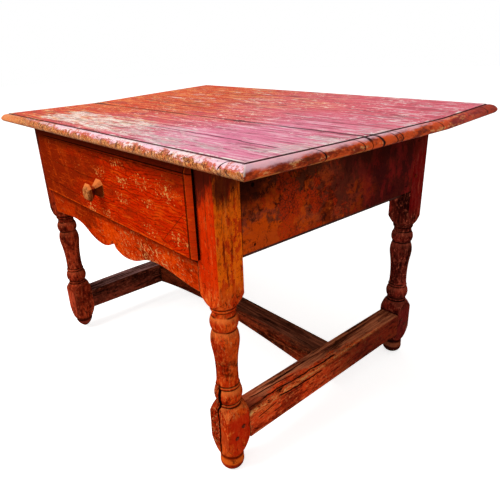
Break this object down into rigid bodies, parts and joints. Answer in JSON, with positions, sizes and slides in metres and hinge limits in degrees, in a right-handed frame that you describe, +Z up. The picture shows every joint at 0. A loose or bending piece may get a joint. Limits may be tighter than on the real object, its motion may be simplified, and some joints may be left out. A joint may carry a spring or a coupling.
{
  "type": "tavern table",
  "caption": "Low tavern table with turned legs, an H-shaped stretcher, a scalloped skirt, a lipped drawer with a carved wooden knob and an overhanging boarded top.",
  "frame": {"origin": "on the floor under the middle of the top", "axes": "+Z up; +X along the drawer front, to the right of a person facing it; the drawer opens towards -Y"},
  "size_m": [1.1101, 0.7761, 0.7316],
  "materials": {
    "painted_frame": "worn orange-red paint over brown",
    "painted_top": "worn and scuffed pink-red paint",
    "painted_drawer": "worn orange-red paint",
    "bare_inner_wood": "unpainted, aged",
    "carved_knob": "worn, hand carved",
    "pegs": "worn, dark",
    "wrought_nails": "dull, rusted"
  },
  "bodies": {
    "frame": {"leg_front_left": "painted_frame", "leg_front_right": "painted_frame", "leg_rear_left": "painted_frame", "leg_rear_right": "painted_frame", "end_apron_left": "painted_frame", "end_apron_right": "painted_frame", "side_stretcher_left": "painted_frame", "side_stretcher_right": "painted_frame", "drawer_runner_left": "bare_inner_wood", "drawer_runner_right": "bare_inner_wood", "drawer_guide_left": "bare_inner_wood", "drawer_guide_right": "bare_inner_wood", "drawer_kicker_left": "bare_inner_wood", "drawer_kicker_right": "bare_inner_wood", "back_apron": "painted_frame", "scalloped_skirt": "painted_frame", "drawer_top_rail": "painted_frame", "medial_stretcher": "painted_frame", "top_board_front": "painted_top", "top_board_rear": "painted_top", "top_pegs": "pegs", "apron_pegs": "pegs", "rail_pegs": "pegs", "stretcher_pegs": "pegs", "runner_nails": "wrought_nails", "guide_nails": "wrought_nails"},
    "drawer": {"drawer_front": "painted_drawer", "drawer_side_left": "bare_inner_wood", "drawer_side_right": "bare_inner_wood", "drawer_back": "bare_inner_wood", "drawer_bottom_front": "bare_inner_wood", "drawer_bottom_rear": "bare_inner_wood", "drawer_knob": "carved_knob", "drawer_nails": "wrought_nails"}
  },
  "joints": [
    {"name": "drawer_slide", "type": "slide", "parent": "frame", "child": "drawer", "axis": [0, -1, 0], "range_m": [0, 0.4]}
  ]
}
